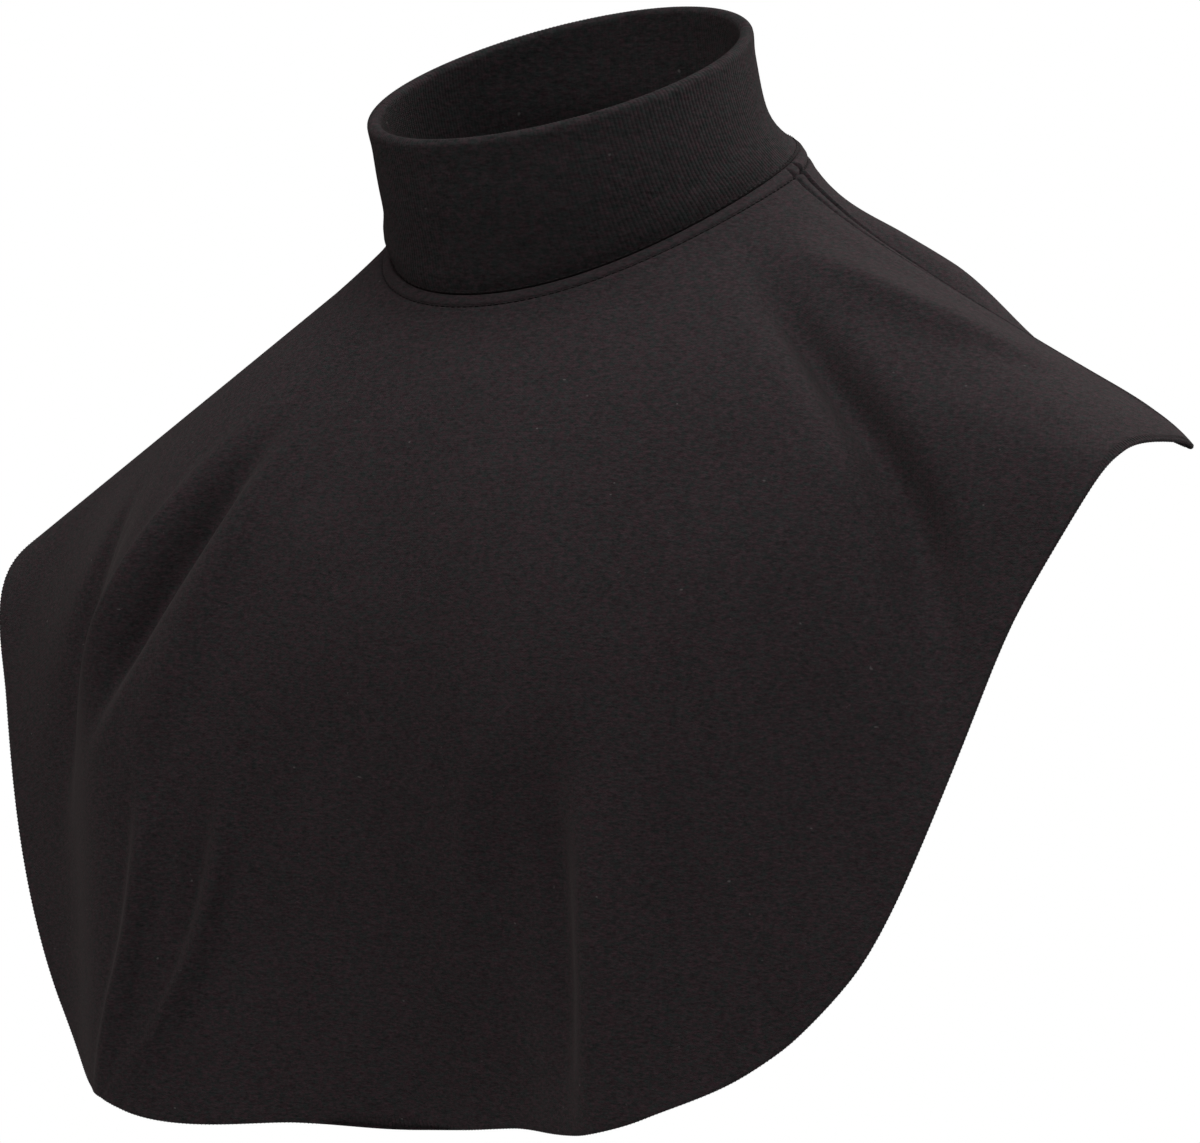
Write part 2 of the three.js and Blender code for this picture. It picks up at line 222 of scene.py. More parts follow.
# %% [markdown]
# Folds make it cloth. Long ones fall from the collar where the neck pushes the fabric,
# a hollow lies under the shoulder, and soft flutes hang from the bust. Each is a hump
# across a curved crest that fades in and out along its length. The first table is the one
# that the solids have, and the second adds the small creases that only the surface needs.
# %% Folds
FOLD_COLUMNS = ("start_angle", "via", "to", "start", "end", "width", "height")
MAIN_FOLDS = [
    (-33, -39, -52, 0.12, 0.66, 0.5, 0.7),
    (-29, -35, -46, 0.2, 0.66, 0.5, -1.7),
    (-24, -28, -38, 0.14, 0.7, 0.55, 0.7),
    (-50, -56, -60, 0.34, 0.86, 0.7, -0.8),
    (-22.5, -29, -45, 0.56, 1.04, 0.26, 0.8),
    (-33.5, -36.5, -47, 0.58, 1.04, 0.26, 0.9),
    (6, 4, 2, 0.52, 1.3, 1.4, -0.5),
    (24, 22, 21, 0.54, 1.15, 1.4, -1.4),
    (33.5, 34.5, 35.5, 0.54, 1.12, 0.55, 1.0),
    (40, 45, 47, 0.6, 1.2, 0.8, -0.5),
    (66, 64.5, 67, 0.04, 1.1, 0.6, -1.7),
    (76, 81, 90, 0.08, 0.8, 0.8, 0.6),
    (105, 106, 104, 0.12, 0.66, 0.4, -0.4),
    (116, 115, 112, 0.08, 0.7, 1.2, 0.6),
    (152, 154, 156, 0.4, 1.2, 1.5, 0.5),
    (-154, -152, -150, 0.4, 1.2, 1.5, 0.5),
    (180, 180, 180, 0.35, 1.2, 1.6, -0.35),
]
SMALL_FOLDS = [
    (-17, -18, -24, 0.02, 0.42, 0.35, 0.15),
    (-36, -31, -34, 0.03, 0.32, 0.3, 0.12),
    (8, 18, 21, 0.02, 0.54, 0.3, -0.06),
    (10, 13, 12, 0.36, 0.8, 0.45, -0.12),
    (18, 16, 13, 0.56, 0.78, 0.3, 0.25),
    (49, 52, 55, 0.84, 1.1, 0.35, -0.35),
    (28.5, 29.5, 30.5, 0.54, 1.03, 0.55, -0.9),
    (38, 39.5, 41, 0.56, 1.03, 0.6, 0.5),
    (67, 65.5, 68, 0.06, 1.0, 0.4, -0.75),
    (-29, -35, -46, 0.2, 0.66, 0.9, 0.55),
    (-30, -36, -46, 0.24, 0.64, 0.3, -0.25),
    (-37, -42, -49, 0.3, 0.62, 0.3, 0.2),
    (-54, -57, -59, 0.36, 0.68, 0.3, -0.4),
    (-22, -28.5, -44, 0.58, 1.04, 0.13, 0.28),
    (-33, -36, -46, 0.6, 1.04, 0.13, 0.28),
    (-25, -31, -44, 0.6, 1.04, 0.2, -0.3),
    (74, 79, 87, 0.1, 0.8, 0.4, 0.35),
]
FOLD_FADE = 0.4
folds = records(FOLD_COLUMNS, MAIN_FOLDS + SMALL_FOLDS)


def crest_angle(fold, t):
    """Angle of a fold's crest: a quadratic through its three angles, at t 0, a half and 1."""
    return (fold["start_angle"] * (1 - t) * (1 - 2 * t) + fold["via"] * 4 * t * (1 - t)
            + fold["to"] * t * (2 * t - 1))


def fold_height(angle, share):
    """Sum of the folds: a bell curve of the distance from each crest, times a fade at both
    ends, and nothing at the neck seam."""
    place = drape(angle, share)
    radius = np.hypot(place[..., 0], place[..., 1])
    height = np.zeros(radius.shape)
    for fold in folds:
        t = np.clip((share - fold["start"]) / (fold["end"] - fold["start"]), 0, 1)
        turned = short_way(angle, crest_angle(fold, t))
        across = np.radians(turned) * radius / (FOLD_WIDTH * fold["width"])
        fade = ease(t / FOLD_FADE) * ease((1 - t) / FOLD_FADE)
        height = height + FOLD_HEIGHT * fold["height"] * fade * np.exp(-across**2)
    return height * ease(share * fall_at("length", angle) / (2 * SEAM_ALLOWANCE))


print("folds", len(folds))

# %% [markdown]
# The folds are heights over the drape, so the face of the cloth is the drape moved along
# its own normal. What lies over or under the face, such as a thread or an allowance, is
# reached in the same way from the face.
# %% The face of the cloth
def cloth_face(angle, share):
    """Outer face of the cloth: the drape moved along its own normal by the folds."""
    angle, share = np.broadcast_arrays(np.asarray(angle, float), np.asarray(share, float))
    return drape(angle, share) + normal_of(drape, angle, share) * fold_height(angle, share)[..., None]


def cloth_at(angle, share, raise_by):
    """Cloth face moved out by a height, so a depth below the face is a negative height."""
    angle, share, raise_by = np.broadcast_arrays(
        np.asarray(angle, float), np.asarray(share, float), np.asarray(raise_by, float))
    return cloth_face(angle, share) + normal_of(cloth_face, angle, share) * raise_by[..., None]


def grid_normals(face):
    """Outward way at each point of a grid: the grid's own steps down crossed with those across."""
    return unit(np.cross(np.gradient(face, axis=1), np.gradient(face, axis=0)))


print("chest at", cloth_face(0.0, 0.5).round())

# %% [markdown]
# A mesh helper turns a grid of points into a Blender object. The grid may close on itself
# in either direction. It also stores a UV map in metres of cloth, so that the knit
# keeps its true stitch size wherever the surface bends.
# %% Grid to mesh
def grid_faces(columns, rows, close_columns, close_rows):
    """Quads of a grid: each face joins a point with its neighbours down and across."""
    i = np.arange(columns if close_columns else columns - 1)[:, None]
    j = np.arange(rows if close_rows else rows - 1)[None]
    after_i, after_j = (i + 1) % columns, (j + 1) % rows
    corners = [i * rows + j, i * rows + after_j, after_i * rows + after_j, after_i * rows + j]
    return np.stack(np.broadcast_arrays(*corners), -1).reshape(-1, 4)


def new_object(name, data):
    """An object in the scene that shows the data."""
    thing = bpy.data.objects.new(name, data)
    bpy.context.scene.collection.objects.link(thing)
    return thing


def make_mesh(name, points, faces, uv=None, uv_round=None):
    """A smooth-shaded object from points in millimetres, faces and one UV per point. Where
    a layout closes on itself, uv_round is its width, and the last faces end at it."""
    mesh = bpy.data.meshes.new(name)
    mesh.from_pydata((np.asarray(points).reshape(-1, 3) * MM).tolist(), [], [list(f) for f in faces])
    if uv is not None:
        corners = np.asarray(uv).reshape(-1, 2)[np.asarray(faces)]
        if uv_round:
            wraps = np.ptp(corners[..., 0], axis=1) > uv_round / 2
            low = corners[..., 0] < uv_round / 2
            corners[..., 0] += uv_round * (low & wraps[:, None])
        layer = mesh.uv_layers.new(name="cloth")
        layer.data.foreach_set("uv", (corners * MM).astype(np.float32).ravel())
    mesh.shade_smooth()
    return new_object(name, mesh)


print("a tube of 4 by 3 points has", len(grid_faces(4, 3, True, False)), "faces")

# %% [markdown]
# Every piece rides on the one body and hides the solid that it stands for. Its volume is printed too: a
# closed mesh whose faces look outwards has a positive one.
# %% Showing a piece
def volume_of(thing):
    """Signed volume in cubic millimetres: a sixth of each triangle's triple product."""
    mesh = thing.data
    mesh.calc_loop_triangles()
    corners = np.zeros(len(mesh.loop_triangles) * 3, np.int32)
    mesh.loop_triangles.foreach_get("vertices", corners)
    points = np.zeros(len(mesh.vertices) * 3, np.float32)
    mesh.vertices.foreach_get("co", points)
    a, b, c = points.reshape(-1, 3).astype(float)[corners.reshape(-1, 3)].transpose(1, 0, 2)
    return float((a * np.cross(b, c)).sum() / 6 / MM**3)


def show(thing, node=None):
    """Rides the piece on the one body, hides the node that it stands for and prints its size."""
    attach(thing, "root")
    if node:
        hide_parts(node)
    print(thing.name, len(thing.data.polygons), "faces, volume", round(volume_of(thing)), "mm3")
    return thing


# %% [markdown]
# A bib is cut flat, and its stitches run straight on the flat cloth. To know where they
# run on the worn bib, the surface is laid out flat again: a coarse net is unrolled so that
# every small triangle keeps its angles, which is a set of linear equations. Its middle line
# is pinned at both ends, which sets the scale.
# %% Laying a bib out flat
def flat_triangles(corners):
    """Each triangle laid flat by itself as complex numbers, its first corner at nothing and
    its second on the real axis, and twice its area."""
    edge_one, edge_two = corners[:, 1] - corners[:, 0], corners[:, 2] - corners[:, 0]
    along = np.linalg.norm(edge_one, axis=1)
    axis = edge_one / along[:, None]
    x = (edge_two * axis).sum(1)
    y = np.linalg.norm(edge_two - x[:, None] * axis, axis=1)
    return np.stack([np.zeros_like(along) + 0j, along + 0j, x + 1j * y], 1), along * y


def angle_equations(triangles, corners, count):
    """Equations that keep the angles: for each triangle, the sum of its opposite edges times
    its flat corners is nothing, in the real and in the imaginary part."""
    flat, area = flat_triangles(corners)
    opposite = np.stack([flat[:, 2] - flat[:, 1], flat[:, 0] - flat[:, 2], flat[:, 1] - flat[:, 0]], 1)
    weights = opposite / np.sqrt(area)[:, None]
    real, imaginary = np.zeros((len(triangles), count)), np.zeros((len(triangles), count))
    index = np.arange(len(triangles))
    for corner in range(3):
        real[index, triangles[:, corner]] += weights[:, corner].real
        imaginary[index, triangles[:, corner]] += weights[:, corner].imag
    return np.block([[real, -imaginary], [imaginary, real]])


def lay_flat(points):
    """Flat places of a net of 3-D points, by least squares of the angles' equations, with the
    two ends of the middle line pinned as far apart as that line is long."""
    columns, rows = points.shape[:2]
    count = columns * rows
    quads = grid_faces(columns, rows, False, False)
    triangles = np.concatenate([quads[:, [0, 1, 2]], quads[:, [0, 2, 3]]])
    system = angle_equations(triangles, points.reshape(-1, 3)[triangles], count)
    middle = columns // 2
    pins = np.array([middle * rows, middle * rows + rows - 1])
    pinned = np.concatenate([pins, pins + count])
    length = np.linalg.norm(np.diff(points[middle], axis=0), axis=1).sum()
    value = np.array([0, 0, 0, -length])
    free = np.setdiff1d(np.arange(2 * count), pinned)
    unknown = system[:, free]
    answer = np.zeros(2 * count)
    answer[free] = np.linalg.solve(unknown.T @ unknown, -unknown.T @ (system[:, pinned] @ value))
    answer[pinned] = value
    return np.stack([answer[:count], answer[count:]], -1).reshape(columns, rows, 2)


square = np.stack([*np.meshgrid([0.0, 10, 20], [0.0, 10, 20], indexing="ij"), np.zeros((3, 3))], -1)
print("a flat square stays", np.ptp(lay_flat(square).reshape(-1, 2), axis=0).round(3), "mm")

# %% [markdown]
# The net is coarse, so its flat places are smoothed into a polynomial of the two grid
# parameters, which can be read anywhere on the fine surface.
# %% Reading the flat layout
FLAT_DEGREE = 8
NET_COLUMNS = 27
NET_ROWS = 15


def flat_terms(s, t):
    """Chebyshev terms of two grid parameters from -1 to 1."""
    return np.polynomial.chebyshev.chebvander2d(s.ravel(), t.ravel(), (FLAT_DEGREE, FLAT_DEGREE))


def flat_layout(first_edge, last_edge):
    """The unrolled net between two edges, and the weights of its polynomial by least squares."""
    across, down = np.meshgrid(np.linspace(0, 1, NET_COLUMNS), np.linspace(0, 1, NET_ROWS), indexing="ij")
    first, last = first_edge(down), last_edge(down)
    flat = lay_flat(drape(first + (last - first) * across, down))
    s, t = np.meshgrid(np.linspace(-1, 1, NET_COLUMNS), np.linspace(-1, 1, NET_ROWS), indexing="ij")
    return flat, np.linalg.lstsq(flat_terms(s, t), flat.reshape(-1, 2), rcond=None)[0]


def flat_at(weights, s, t):
    """Flat place in millimetres at grid parameters from -1 to 1."""
    return (flat_terms(s, t) @ weights).reshape(s.shape + (2,))


print("net", NET_COLUMNS, "by", NET_ROWS)

# %% [markdown]
# The bibs are seamed to the collar with the seam allowance pressed towards the cloth and
# held by a line of topstitching. So next to the neck the cloth stands a little proud,
# then dips at the stitches, and steps down where the allowance ends. The same happens
# along the shoulder seams. The shoulder seams themselves turn a little forward.
# %% Seams pressed into the cloth
TOPSTITCH_FROM_NECK = 4.4
TOPSTITCH_FROM_SHOULDER = 5.0
STITCH_LENGTH = 2.1
SEAM_ROUNDING = 0.15
ROUNDING_REACH = 0.4
SEAM_PADDING = 0.5
PADDING_RISE = 0.8
PADDING_FALL = 0.9
NECK_DIP = 0.65
SHOULDER_DIP = 1.3
DIP_REACH = 0.6
ALLOWANCE_END = 6.4
ALLOWANCE_FADE = 2.2
NECK_CLEARANCE = 3.0


def seam_relief(distance, topstitch, dip):
    """Height beside a topstitched seam: rounded down at the seam, padded up to the stitches,
    a narrow dip at them, and a low step where the allowance under the cloth ends."""
    rounded = -SEAM_ROUNDING * np.exp(-(distance / ROUNDING_REACH) ** 2)
    fall_away = 1 - ease((distance - topstitch + 0.5) / PADDING_FALL)
    padded = SEAM_PADDING * ease(distance / PADDING_RISE) * fall_away
    stitched = -dip * np.exp(-((distance - topstitch) / DIP_REACH) ** 2)
    step = 1 - ease((distance - ALLOWANCE_END) / ALLOWANCE_FADE)
    under = 0.5 * SEAM_PADDING * ease((distance - topstitch) / PADDING_RISE) * step
    return rounded + padded + stitched + under


def seam_angle(share):
    """Angle of the shoulder seam, which turns a little forward from the neck to the hem."""
    return SEAM_DEG_NECK + (SEAM_DEG_HEM - SEAM_DEG_NECK) * share


def degrees_for(distance, share):
    """Degrees that a distance round the shoulder seam spans, at that share of the cloth."""
    place = drape(seam_angle(share), share)
    return np.degrees(distance / np.hypot(place[..., 0], place[..., 1]))


print("topstitch", TOPSTITCH_FROM_NECK, "mm below the neck seam")

# %% [markdown]
# The overlocked edge of the hem is seen as a band in two places only: at the front's
# lowest point, where the cloth curls in a little, and at the end of the wearer's left
# shoulder.
# %% Where the hem shows its overlock
HEM_CURL = 1.5
CURLS_BEFORE_DEG = 45
SHOWN_COLUMNS = ("start", "full", "still_full", "end", "reach")
SHOWN_ROWS = [
    (-19, -11, -7, 16, 4.6),
    (72, 79, 108, 112, 3.0),
]
shown_parts = records(SHOWN_COLUMNS, SHOWN_ROWS)


def overlock_reach(angle):
    """How far the overlock's threads come up the outer face: nothing along most of the hem,
    and an eased rise and fall over each of the parts where it shows."""
    reach = np.zeros(np.shape(angle))
    for part in shown_parts:
        rise = ease((angle - part["start"]) / (part["full"] - part["start"]))
        drop = ease((angle - part["still_full"]) / (part["end"] - part["still_full"]))
        reach = reach + part["reach"] * rise * (1 - drop)
    return reach


def hem_curl(from_hem, angle):
    """How far the lowest part of the front curls in: a power of the share of the overlock's
    band that lies above."""
    reach = overlock_reach(angle)
    below = np.clip(1 - from_hem / np.maximum(reach, 0.01), 0, 1)
    return HEM_CURL * ease(reach / 3) * below**1.5 * (angle < CURLS_BEFORE_DEG)


print("curl at the lowest point", hem_curl(0.0, -9.0), "mm")

# %% [markdown]
# The rows and columns of a bib's grid crowd together beside the seams and the hem, because
# a dip one millimetre wide needs them. Three lists say where they lie there, in
# millimetres from the edge. The front's columns also crowd where its thinnest creases are.
# %% Grid lines of a bib
HALF_SEAM_GAP = 0.12
BUSY_WIDTH = 0.1
near_seam = HALF_SEAM_GAP + np.array([
    0.12, 0.35, 0.6, 1.0, 1.6, 2.4, 3.3, 4.0, 4.35, 4.7, 5.0, 5.3, 5.65, 6.1, 6.8, 7.8, 9.0, 10.5])
near_neck = np.array([
    0.12, 0.35, 0.6, 1.0, 1.6, 2.4, 3.2, 3.7, 4.05, 4.4, 4.75, 5.1, 5.6, 6.3, 7.2, 8.2, 9.4, 11.0])
near_hem = np.array([8.0, 6.4, 5.4, 4.9, 4.5, 4.1, 3.6, 2.8, 2.0, 1.2, 0.5])


def crowd(first_marks, last_marks, count, busy_at=0.5, extra=0.0):
    """Recipe of grid lines as blends from 0 to 1 with offsets in millimetres: marks after
    the first edge, a spread between, and marks before the last edge. The spread is even,
    but has some extra share of lines round one busy place, as a bell curve."""
    fine = np.linspace(0, 1, 1000)
    density = 1 + extra * np.exp(-((fine - busy_at) / BUSY_WIDTH) ** 2)
    passed = np.concatenate([[0], ((density[1:] + density[:-1]) / 2).cumsum()])
    even = np.interp(np.linspace(0, passed[-1], count), passed, fine)
    blend = np.concatenate([np.zeros(len(first_marks) - 1), even, np.ones(len(last_marks) - 1)])
    offset = np.concatenate(
        [first_marks[:-1], first_marks[-1] * (1 - even) - last_marks[0] * even, -last_marks[1:]])
    return blend, offset


def bib_places(first_edge, last_edge, columns, rows):
    """Angle and share of every grid point, and its distances in millimetres from the two
    shoulder seams. Angle and share need each other, so they are settled in a few turns."""
    across_blend, across_offset = (part[:, None] for part in columns)
    down_blend, down_offset = (part[None, :] for part in rows)
    share = down_blend + 0 * across_blend
    for turn in range(4):
        first, last = first_edge(share), last_edge(share)
        angle = first + (last - first) * across_blend
        place = drape(angle, share)
        per_degree = np.radians(1) * np.hypot(place[..., 0], place[..., 1])
        angle = angle + across_offset / per_degree
        share = down_blend + down_offset / fall_at("length", angle)
    return angle, share, (angle - first) * per_degree, (last - angle) * per_degree


front_columns = crowd(near_seam, near_seam[::-1], 330, busy_at=0.31, extra=1.8)
back_columns = crowd(near_seam, near_seam[::-1], 100)
bib_rows = crowd(near_neck, near_hem, 90)
print("front grid", len(front_columns[0]), "by", len(bib_rows[0]))

# %% [markdown]
# A bib is a closed shell: the outer face goes from the neck to the hem, the hem is a small
# half round, and the inner face comes back up. Solidify could give the wall, but here the
# two faces are worked out directly, so that the inner one stays smooth under the stitched
# relief. The flat layout gives each point its place on the cloth.
# %% One bib
CLOTH_WALL = 1.0
hem_turns = np.radians([36, 72, 108, 144])


def hem_round(angle, length):
    """The hem's half circle between the two faces, its lowest point on the edge of the cloth."""
    share = 1 - (CLOTH_WALL / 2) * (1 - np.sin(hem_turns)) / length
    return cloth_at(angle, share, CLOTH_WALL / 2 * (np.cos(hem_turns) - 1))


def shell_faces(columns, around):
    """Faces of a row of closed sections, with a strip of quads over each end."""
    half = np.arange(around // 2 - 1)
    cap = np.stack([half + 1, half, around - 1 - half, around - 2 - half], 1)
    return np.concatenate([
        grid_faces(columns, around, False, True), cap, cap[:, ::-1] + (columns - 1) * around])


def area_of(grid):
    """Area of a grid of points in square millimetres: half of each cell's crossed diagonals."""
    one = grid[1:, 1:] - grid[:-1, :-1]
    two = grid[1:, :-1] - grid[:-1, 1:]
    return float(np.linalg.norm(np.cross(one, two), axis=-1).sum() / 2)


def bib(name, first_edge, last_edge, columns, rows, relief):
    """A closed cloth shell between two edges, with the flat size and the area of its cut."""
    angle, share, from_first, from_last = bib_places(first_edge, last_edge, columns, rows)
    length = fall_at("length", angle)
    height = relief(share * length, np.minimum(from_first, from_last), (1 - share) * length, angle)
    face = cloth_face(angle, share)
    normal = grid_normals(face)
    outer = face + normal * height[..., None]
    inner = (face - normal * CLOTH_WALL)[:, ::-1]
    section = np.concatenate([outer, hem_round(angle[:, -1:], length[:, -1:]), inner], 1)

    net, weights = flat_layout(first_edge, last_edge)
    first, last = first_edge(share), last_edge(share)
    flat = flat_at(weights, 2 * (angle - first) / (last - first) - 1, 2 * share - 1)
    layout = np.concatenate([flat, np.repeat(flat[:, -1:], len(hem_turns), 1), flat[:, ::-1]], 1)
    piece = make_mesh(name, section, shell_faces(*section.shape[:2]), layout)
    size, area = np.ptp(net.reshape(-1, 2), axis=0), area_of(outer)
    print(name, "cut", size.round(), "mm, area", round(area), "mm2")
    return piece, size, area


def front_relief(from_neck, from_shoulder, from_hem, angle):
    """Padded and topstitched at the neck and, clear of the neck, along both shoulders, and
    curling in below the overlock where that shows."""
    clear = ease(from_neck / NECK_CLEARANCE)
    return (seam_relief(from_neck, TOPSTITCH_FROM_NECK, NECK_DIP)
            + seam_relief(from_shoulder, TOPSTITCH_FROM_SHOULDER, SHOULDER_DIP) * clear
            - hem_curl(from_hem, angle))


front, front_size, front_area = bib(
    "front_bib_jersey", lambda share: -seam_angle(share), seam_angle, front_columns, bib_rows, front_relief)
show(front, "front_bib")

# %% [markdown]
# The back bib is the same kind of piece, shorter and narrower. Behind each shoulder
# seam its edge stands up in a thin ridge, because its allowance is folded forward under
# the front one and pulls the edge up.
# %% The back bib
EDGE_RIDGE = 1.2
EDGE_ROUNDING = 0.5


def back_relief(from_neck, from_shoulder, from_hem, angle):
    """Topstitched at the neck, with a thin ridge beside each shoulder seam."""
    clear = ease(from_neck / NECK_CLEARANCE)
    ridge = EDGE_RIDGE * ease(from_shoulder / 0.7) * (1 - ease((from_shoulder - 1.2) / 2.6))
    rounded = -EDGE_ROUNDING * np.exp(-(from_shoulder / ROUNDING_REACH) ** 2)
    return seam_relief(from_neck, TOPSTITCH_FROM_NECK, NECK_DIP) + (ridge + rounded) * clear


back, back_size, back_area = bib(
    "back_bib_jersey", seam_angle, lambda share: 360 - seam_angle(share),
    back_columns, bib_rows, back_relief)
show(back, "back_bib")

# %% [markdown]
# The collar is a tube of rib knit folded down on itself, so it is two layers thick, with a
# round fold for its top edge. From the neck seam it draws in quickly, then rises to a
# tilted oval rim, and it bulges softly where it leans on the neck.
# %% Form of the collar
ROLL_SWELL = 0.5
ROLL_FROM = 0.82
SWELL_COLUMNS = ("angle", "rise", "wide", "tall", "height")
SWELL_ROWS = [
    (-58, 0.16, 22, 0.13, 1.6),
    (-30, 0.3, 40, 0.22, -0.5),
    (40, 0.5, 30, 0.3, 0.5),
    (75, 0.14, 26, 0.1, 0.8),
    (0, 0.1, 60, 0.1, 0.4),
]
swells = records(SWELL_COLUMNS, SWELL_ROWS)


def rim_point(side):
    """Point of the tilted oval rim, its side in radians: an ellipse moved forward, with its
    height a slope of how far back it lies."""
    forward = -RIM_HALF_DEPTH * np.cos(side)
    return np.stack([RIM_HALF_WIDTH * np.sin(side), forward - RIM_FORWARD,
                     RIM_HEIGHT + forward * np.tan(np.radians(RIM_TILT_DEG))], -1)


def collar_base(angle, rise):
    """Collar's face before its ribs: from the seam it draws in quickly and then rises to the
    rim. The draw is a share of the height left plus the rest of its power, which is sharper
    behind."""
    foot, side = neck_seam(angle), np.radians(angle)
    rim = rim_point(side)
    left = (1 - rise)[..., None]
    behind = ((1 - np.cos(side)) / 2)[..., None]
    lean = DRAW_LEAN_FRONT + (DRAW_LEAN_BACK - DRAW_LEAN_FRONT) * behind
    power = DRAW_POWER_FRONT + (DRAW_POWER_BACK - DRAW_POWER_FRONT) * behind
    draw = lean * left + (1 - lean) * np.abs(left) ** power * np.sign(left)
    return np.concatenate([
        rim[..., :2] + (foot - rim)[..., :2] * draw,
        foot[..., 2:] + (rim - foot)[..., 2:] * (1 - left)], -1)


def collar_normal(angle, rise):
    """Outward way of the collar's face: across crossed with up."""
    across = collar_base(angle + 0.5, rise) - collar_base(angle - 0.5, rise)
    upward = collar_base(angle, rise + 0.01) - collar_base(angle, rise - 0.01)
    return unit(np.cross(across, upward))


def collar_at(angle, rise, raise_by):
    """Collar's face moved out by a height."""
    angle, rise, raise_by = np.broadcast_arrays(angle, rise, raise_by)
    return collar_base(angle, rise) + collar_normal(angle, rise) * raise_by[..., None]


def rim_swell(rise):
    """The tube swells a little towards its fold."""
    return ROLL_SWELL * ease((rise - ROLL_FROM) / (1 - ROLL_FROM))


def swell_height(angle, rise):
    """Soft bulges where the tube leans on the neck: bell curves in both directions."""
    height = np.zeros(np.broadcast(angle, rise).shape)
    for swell in swells:
        turned = short_way(angle, swell["angle"])
        height = height + swell["height"] * np.exp(
            -(turned / swell["wide"]) ** 2 - ((rise - swell["rise"]) / swell["tall"]) ** 2)
    return height * ease(rise / 0.08) * ease((1 - rise) / 0.2)


print("rim in front at", rim_point(0.0).round(), "and behind at", rim_point(np.pi).round())

# %% [markdown]
# In a 1 by 1 rib, knit and purl columns alternate: rounded ridges with narrow grooves
# between them. About three hundred of them go round this neck. They are real shape
# here, since the top edge shows them against the light. They are lower at the foot, where
# the seam holds them down, and inside.
# %% The rib collar
RIBS = 300
RIB_COLUMNS = 6
RIB_DEPTH = 0.17
RIB_ROUNDNESS = 0.7
RIB_PITCH = 1.22
CLOSING_SEAM_DEG = 128.0
CLOSING_GROOVE = 0.6
GROOVE_REACH = 0.5
ALLOWANCE_UNDER = CLOTH_WALL + 0.9
rib_angle = np.arange(RIBS * RIB_COLUMNS)[:, None] * 360 / (RIBS * RIB_COLUMNS)


def rib_height(angle):
    """Ridge profile of the rib: the cosine of half a turn a rib, to a power that rounds it,
    with a groove where the tube is closed."""
    ridge = np.abs(np.cos(np.pi * RIBS * angle / 360)) ** RIB_ROUNDNESS
    from_closing = (angle - CLOSING_SEAM_DEG) * np.radians(RIM_HALF_DEPTH)
    return RIB_DEPTH * (ridge - 0.6) - CLOSING_GROOVE * np.exp(-(from_closing / GROOVE_REACH) ** 2)


def collar_allowance(angle):
    """The seam allowance under the bibs: a strip as thick as a bib's wall, one side of it
    starting from the collar's outer face and the other from its inner one."""
    share = np.array([[0, 0.5, 1, 1, 0.5, 0]]) * SEAM_ALLOWANCE / fall_at("length", angle)
    depth = np.array([[1, 1, 1, 0, 0, 0]]) * BIB_WALL + ALLOWANCE_UNDER
    strip = cloth_at(angle, share, -depth)
    strip[:, 0] -= collar_normal(angle, 0 * angle)[:, 0] * COLLAR_WALL
    return strip[:, ::-1]


def collar_inside(angle, rib):
    """Inner face from the foot to the rim, a wall behind the outer one."""
    rise = np.linspace(0, 1, 9)[None]
    depth = COLLAR_WALL + rim_swell(rise) - swell_height(angle, rise)
    return collar_at(angle, rise, -(rib * 0.8 + depth))


def collar_fold(angle, rib):
    """Half a turn round the rim's middle, from the inner face over the top to the outer one."""
    rise = np.ones_like(angle)
    top, outward = collar_base(angle, rise), collar_normal(angle, rise)
    upward = unit(top - collar_base(angle, 0.9 * rise))
    turn = np.radians(np.linspace(180, 0, 10)[1:-1])[None, :, None]
    radius = COLLAR_FOLD_RADIUS + rib[..., None]
    return top - outward * COLLAR_WALL / 2 + radius * (outward * np.cos(turn) + upward * np.sin(turn))


def collar_outside(angle, rib):
    """Outer face from the rim down to the foot."""
    rise = np.concatenate([[1, 0.985, 0.965], np.linspace(0.94, 0.08, 15), [0.05, 0.025, 0]])[None]
    foot_fade = 0.45 + 0.55 * ease(rise / 0.12)
    return collar_at(angle, rise, rib * foot_fade + (rim_swell(rise) + swell_height(angle, rise)))


ribs = rib_height(rib_angle)
section = np.concatenate([
    collar_allowance(rib_angle), collar_inside(rib_angle, ribs),
    collar_fold(rib_angle, ribs), collar_outside(rib_angle, ribs)], 1)
collar_run = run_along(section[0])[None] + 0 * rib_angle
collar_layout = np.stack([rib_angle / 360 * RIBS * RIB_PITCH + 0 * collar_run, collar_run], -1)
collar = make_mesh(
    "rib_collar_knit", section, grid_faces(*section.shape[:2], True, True), collar_layout, RIBS * RIB_PITCH)
show(collar, "rib_collar")

# %% [markdown]
# A stitch of sewing thread is a small tube along the line of the seam, thickest and highest
# in its middle. One function sweeps all the tubes of a piece, as arrays with one entry a
# stitch.
# %% Thread
THREAD_RADIUS = 0.24
LOOP_POINTS = 7


def tubes(centres, ways_up, radius, sides=6):
    """Closed tubes along paths. A ring is the centre plus the radius times a turn between
    the upward way and the one square to it, and flat caps end each tube."""
    count, stations = centres.shape[:2]
    along = np.gradient(centres, axis=1)
    across = unit(np.cross(along, ways_up))
    upward = unit(np.cross(across, along))
    turn = 2 * np.pi * np.arange(sides) / sides
    rings = centres[:, :, None] + radius[..., None, None] * (
        across[:, :, None] * np.cos(turn)[:, None] + upward[:, :, None] * np.sin(turn)[:, None])
    one = grid_faces(stations, sides, False, True)[:, ::-1]
    ends = np.stack([np.arange(sides), np.arange(sides)[::-1] + (stations - 1) * sides])
    start = np.arange(count)[:, None, None] * stations * sides
    quads = (one[None] + start).reshape(-1, 4)
    caps = (ends[None] + start).reshape(-1, sides)
    return rings.reshape(-1, 3), quads.tolist() + caps.tolist()


